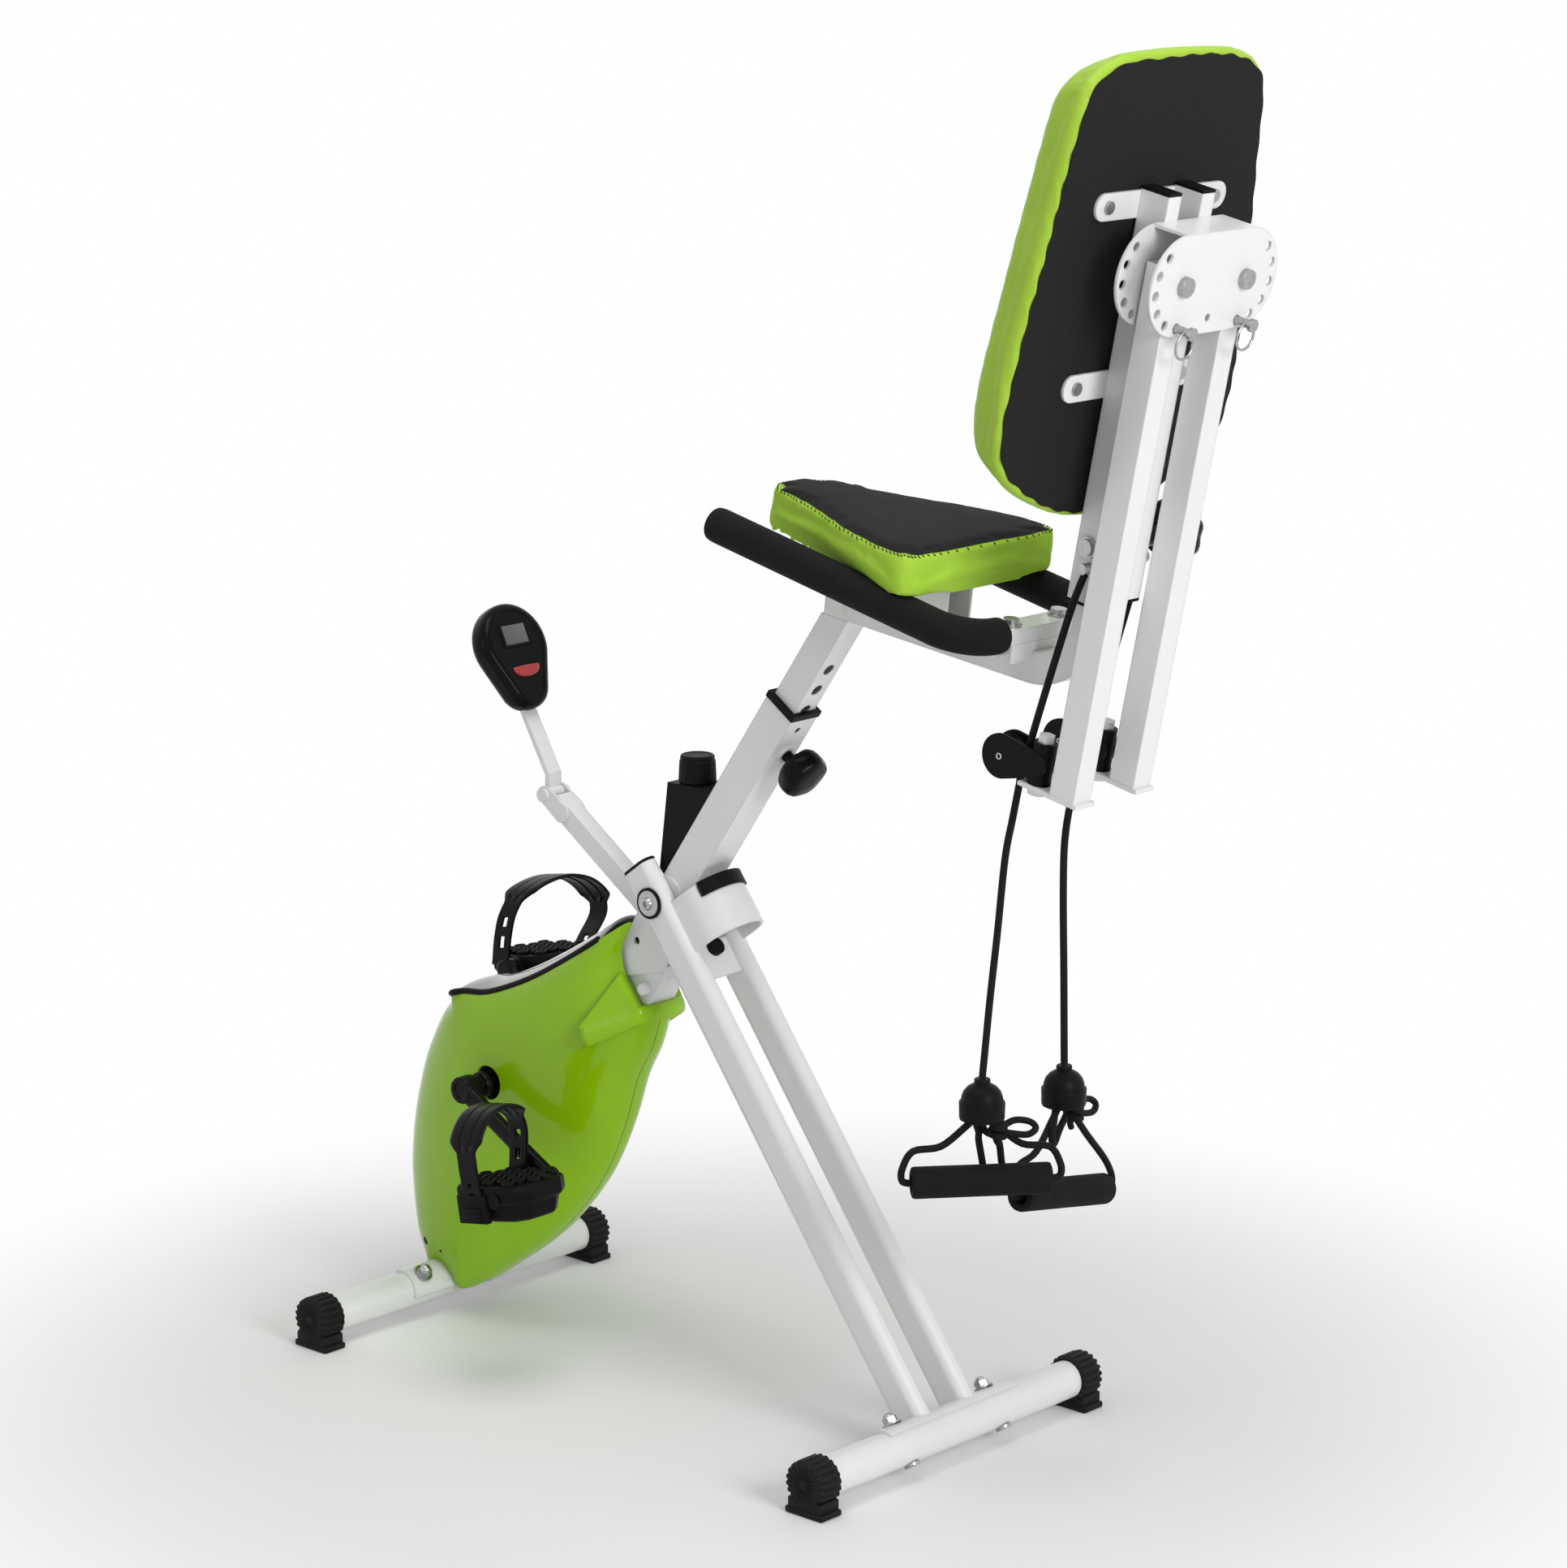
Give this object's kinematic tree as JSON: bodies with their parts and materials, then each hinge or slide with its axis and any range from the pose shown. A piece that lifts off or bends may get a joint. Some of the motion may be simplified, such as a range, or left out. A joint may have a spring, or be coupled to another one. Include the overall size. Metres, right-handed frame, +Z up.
{
  "type": "recumbent exercise bike",
  "caption": "Folding recumbent exercise bike with padded saddle and backrest, side grips, enclosed belt drive with strapped pedals, swing-out arms with pull cords, and a small console.",
  "frame": {"origin": "middle of the footprint box, on the floor", "axes": "+X forward to the pedals, +Y to the rider's left, +Z up"},
  "size_m": [1.0526, 0.42, 1.3608],
  "materials": {
    "white_steel": "semi-gloss powder coat",
    "green_plastic": "glossy moulded",
    "grey_panel": "glossy moulded",
    "black_plastic": "fine grain",
    "black_pedal": "fine grain",
    "black_crank": "satin paint",
    "zinc_steel": "bright zinc plate",
    "black_rubber": "smooth",
    "wheel_iron": "turned",
    "display": "smooth",
    "red_button": "smooth",
    "seat_vinyl": "soft grained vinyl",
    "black_foam": "closed-cell foam",
    "handle_foam": "closed-cell foam",
    "black_cord": "braided"
  },
  "bodies": {
    "frame": {"front_base": "white_steel", "front_feet": "black_plastic", "front_frame": "white_steel", "seat_tube": "white_steel", "seat_collar": "black_plastic", "tension_box": "black_plastic", "left_shell": "green_plastic", "right_shell": "green_plastic", "top_cover": "grey_panel", "crank_bearings": "zinc_steel", "drive_belt": "black_rubber", "frame_fasteners": "zinc_steel", "console_post": "white_steel"},
    "brake": {"brake_shoe": "zinc_steel"},
    "rear_leg": {"rear_leg_frame": "white_steel", "leg_plastics": "black_plastic", "rear_base": "white_steel", "rear_feet": "black_plastic", "pivot_bolt": "zinc_steel", "leg_fasteners": "zinc_steel"},
    "console": {"console_stem": "white_steel", "console_case": "black_plastic", "console_lens": "display"},
    "button": {"console_button": "red_button"},
    "tension": {"tension_knob": "black_plastic"},
    "seat": {"seat_post": "white_steel", "seat_rail": "white_steel", "seat_bracket": "white_steel", "seat_cushion": "seat_vinyl", "handlebar": "white_steel", "handlebar_foam": "black_foam", "back_posts": "white_steel", "post_caps": "black_plastic", "back_strips": "white_steel", "back_cushion": "seat_vinyl", "hinge_bracket": "white_steel", "seat_fasteners": "zinc_steel"},
    "height_knob": {"pull_knob": "black_plastic"},
    "clamp_knob": {"back_knob": "black_plastic"},
    "crank": {"crank_set": "black_crank", "drive_pulley": "black_plastic"},
    "left_foot": {"left_pedal": "black_pedal", "left_strap": "black_rubber"},
    "right_foot": {"right_pedal": "black_pedal", "right_strap": "black_rubber"},
    "flywheel": {"flywheel": "wheel_iron"},
    "left_swing": {"left_arm": "white_steel", "left_pulley_block": "black_plastic", "left_cord_upper": "black_cord"},
    "left_sheave": {"left_pulley_wheel": "black_plastic"},
    "left_pin": {"left_lock_pin": "zinc_steel"},
    "left_drop": {"left_cord_lower": "black_cord"},
    "left_grip": {"left_handle": "handle_foam"},
    "right_swing": {"right_arm": "white_steel", "right_pulley_block": "black_plastic", "right_cord_upper": "black_cord"},
    "right_sheave": {"right_pulley_wheel": "black_plastic"},
    "right_pin": {"right_lock_pin": "zinc_steel"},
    "right_drop": {"right_cord_lower": "black_cord"},
    "right_grip": {"right_handle": "handle_foam"}
  },
  "joints": [
    {"name": "fold_hinge", "type": "hinge", "parent": "frame", "child": "rear_leg", "pos_m": [0.1328, 0, 0.499], "axis": [0, -1, 0], "range_deg": [0, 26]},
    {"name": "seat_slide", "type": "slide", "parent": "frame", "child": "seat", "axis": [-0.5707, 0, 0.8211], "range_m": [-0.0795, 0.053]},
    {"name": "height_knob_pull", "type": "slide", "parent": "frame", "child": "height_knob", "axis": [-0.8211, 0, -0.5707], "range_m": [-0.008, 0]},
    {"name": "crank_spin", "type": "hinge", "parent": "frame", "child": "crank", "pos_m": [0.3508, 0, 0.275], "axis": [0, 1, 0], "continuous": true},
    {"name": "flywheel_spin", "type": "hinge", "parent": "frame", "child": "flywheel", "pos_m": [0.37737, 0, 0.18862], "axis": [0, 1, 0], "continuous": true},
    {"name": "left_pedal_spin", "type": "hinge", "parent": "crank", "child": "left_foot", "pos_m": [0.22859, 0.145, 0.2067], "axis": [0, 1, 0], "continuous": true},
    {"name": "right_pedal_spin", "type": "hinge", "parent": "crank", "child": "right_foot", "pos_m": [0.47301, -0.145, 0.3433], "axis": [0, 1, 0], "continuous": true},
    {"name": "tension_turn", "type": "hinge", "parent": "frame", "child": "tension", "pos_m": [0.1078, 0, 0.61802], "axis": [0, 0, 1], "range_deg": [0, 270]},
    {"name": "brake_tilt", "type": "hinge", "parent": "frame", "child": "brake", "pos_m": [0.39746, 0, 0.11244], "axis": [0, 1, 0], "range_deg": [0, 5]},
    {"name": "console_tilt", "type": "hinge", "parent": "frame", "child": "console", "pos_m": [0.30911, 0, 0.57648], "axis": [0, 1, 0], "range_deg": [-20, 25]},
    {"name": "button_press", "type": "slide", "parent": "console", "child": "button", "axis": [0.9011, 0, -0.4337], "range_m": [0, 0.0015], "stiffness_N_per_m": 600, "springref_m": -0.001},
    {"name": "clamp_knob_turn", "type": "hinge", "parent": "seat", "child": "clamp_knob", "pos_m": [-0.40383, -0.09, 0.9157], "axis": [0, -1, 0], "range_deg": [0, 360]},
    {"name": "left_arm_swing", "type": "hinge", "parent": "seat", "child": "left_swing", "pos_m": [-0.49356, 0.0435, 1.16161], "axis": [0.9792, 0, 0.2028], "range_deg": [0, 135], "deforming": ["left_cord_upper"]},
    {"name": "left_lock_slide", "type": "slide", "parent": "seat", "child": "left_pin", "axis": [0.9792, 0, 0.2028], "range_m": [0, 0.01]},
    {"name": "left_sheave_spin", "type": "hinge", "parent": "left_swing", "child": "left_sheave", "pos_m": [-0.32285, 0.0435, 0.71699], "axis": [0, 1, 0], "continuous": true},
    {"name": "left_hang", "type": "hinge", "parent": "left_swing", "child": "left_drop", "pos_m": [-0.33671, 0.0435, 0.69268], "axis": [0.9792, 0, 0.2028], "range_deg": [-135, 0]},
    {"name": "left_handle_pull", "type": "slide", "parent": "left_drop", "child": "left_grip", "axis": [0, 0, -1], "range_m": [0, 0.12], "stiffness_N_per_m": 150, "springref_m": -0.02, "deforming": ["left_cord_lower"]},
    {"name": "right_arm_swing", "type": "hinge", "parent": "seat", "child": "right_swing", "pos_m": [-0.49356, -0.0435, 1.16161], "axis": [-0.9792, 0, -0.2028], "range_deg": [0, 135], "deforming": ["right_cord_upper"]},
    {"name": "right_lock_slide", "type": "slide", "parent": "seat", "child": "right_pin", "axis": [0.9792, 0, 0.2028], "range_m": [0, 0.01]},
    {"name": "right_sheave_spin", "type": "hinge", "parent": "right_swing", "child": "right_sheave", "pos_m": [-0.32285, -0.0435, 0.71699], "axis": [0, 1, 0], "continuous": true},
    {"name": "right_hang", "type": "hinge", "parent": "right_swing", "child": "right_drop", "pos_m": [-0.33671, -0.0435, 0.69268], "axis": [-0.9792, 0, -0.2028], "range_deg": [-135, 0]},
    {"name": "right_handle_pull", "type": "slide", "parent": "right_drop", "child": "right_grip", "axis": [0, 0, -1], "range_m": [0, 0.12], "stiffness_N_per_m": 150, "springref_m": -0.02, "deforming": ["right_cord_lower"]}
  ],
  "couplings": [
    {"joint": "flywheel_spin", "follows": "crank_spin", "ratio": 4.2857},
    {"joint": "brake_tilt", "follows": "tension_turn", "ratio": 0.0185},
    {"joint": "left_hang", "follows": "left_arm_swing", "ratio": -1},
    {"joint": "right_hang", "follows": "right_arm_swing", "ratio": -1}
  ]
}
